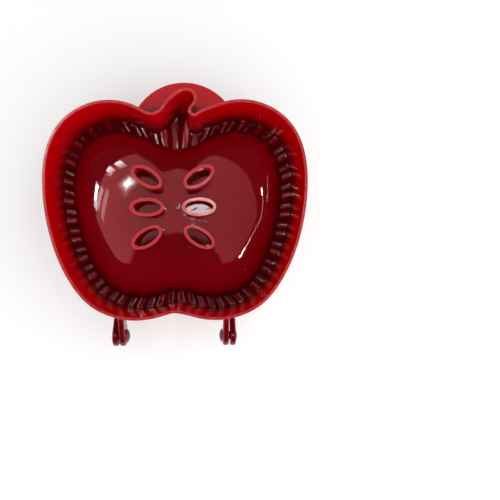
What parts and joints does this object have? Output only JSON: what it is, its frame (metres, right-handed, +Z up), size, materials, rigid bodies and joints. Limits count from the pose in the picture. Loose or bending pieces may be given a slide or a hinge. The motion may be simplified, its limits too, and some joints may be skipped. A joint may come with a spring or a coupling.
{
  "type": "pastry mold",
  "caption": "Hinged apple-shaped plastic hand-pie press: each half has a filling bowl, a fluted crimping rim, a thumb tab and a deep cutter on its back.",
  "frame": {"origin": "middle of the closed press's length and width, in the plane of the base's cutter rim that it stands on", "axes": "+X to the right with the stem away, +Y from the hinge to the stem and the thumb tabs, +Z up from the base's cutter rim to the lid's cutter rim"},
  "size_m": [0.1086, 0.117, 0.0446],
  "materials": {
    "red_plastic": "glossy injection-moulded red plastic, slightly translucent in its thin walls"
  },
  "bodies": {
    "base": {"base_half": "red_plastic", "hinge_pin_left": "red_plastic", "hinge_pin_right": "red_plastic"},
    "lid": {"lid_half": "red_plastic"}
  },
  "joints": [
    {"name": "lid_hinge", "type": "hinge", "parent": "base", "child": "lid", "pos_m": [-0.002, -0.054, 0.0223], "axis": [1, 0, 0], "range_deg": [0, 180]}
  ]
}
